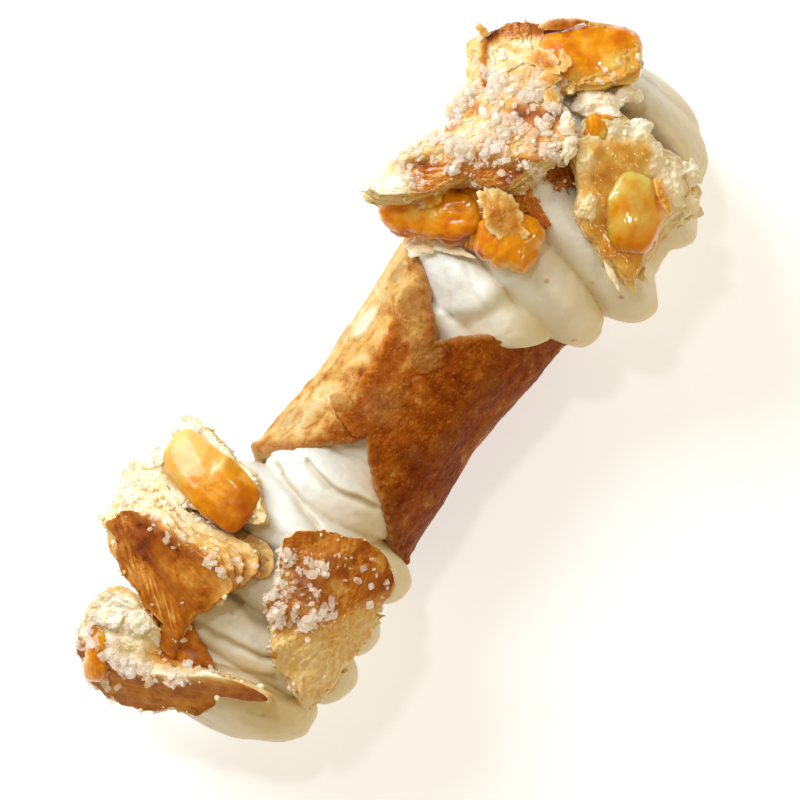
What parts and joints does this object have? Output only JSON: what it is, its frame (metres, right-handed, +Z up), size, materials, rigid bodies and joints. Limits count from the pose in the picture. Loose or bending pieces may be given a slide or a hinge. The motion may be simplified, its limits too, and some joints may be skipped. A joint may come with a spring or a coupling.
{
  "type": "filled pastry tube topped with apple strudel pieces",
  "caption": "Fried rolled pastry tube filled with piped cream at both ends, topped with torn pieces of apple strudel, lying on its back.",
  "frame": {"origin": "centre of the underside of the bounding box, on the surface that the pastry lies on", "axes": "+X along the tube, towards the larger heap of cream; +Y to the side that the seam's loose edge faces; +Z up, out of the shown side"},
  "size_m": [0.1362, 0.0542, 0.0443],
  "materials": {
    "fried_dough": "matt fried dough, golden brown, finely blistered",
    "cream": "smooth whipped cream with a soft sheen",
    "puff_pastry": "flaky puff pastry, browned and bubbled on the outside, pale inside",
    "baked_apple": "translucent baked apple under a wet glaze",
    "fruit_filling": "dark amber fruit filling, wet and glossy"
  },
  "bodies": {
    "root": {"shell": "fried_dough", "cream": "cream", "crust_upper_left": "puff_pastry", "crust_upper_end": "puff_pastry", "pastry_upper_right": "puff_pastry", "pastry_upper_left": "puff_pastry", "crust_lower_left": "puff_pastry", "pastry_lower_left": "puff_pastry", "crust_lower_end": "puff_pastry", "crust_lower_right": "puff_pastry", "apple_upper_front": "baked_apple", "apple_upper_right": "baked_apple", "apple_upper_end": "baked_apple", "apple_lower_left": "baked_apple", "apple_lower_end": "baked_apple", "filling_upper_left": "fruit_filling", "filling_lower_end": "fruit_filling"}
  },
  "joints": []
}
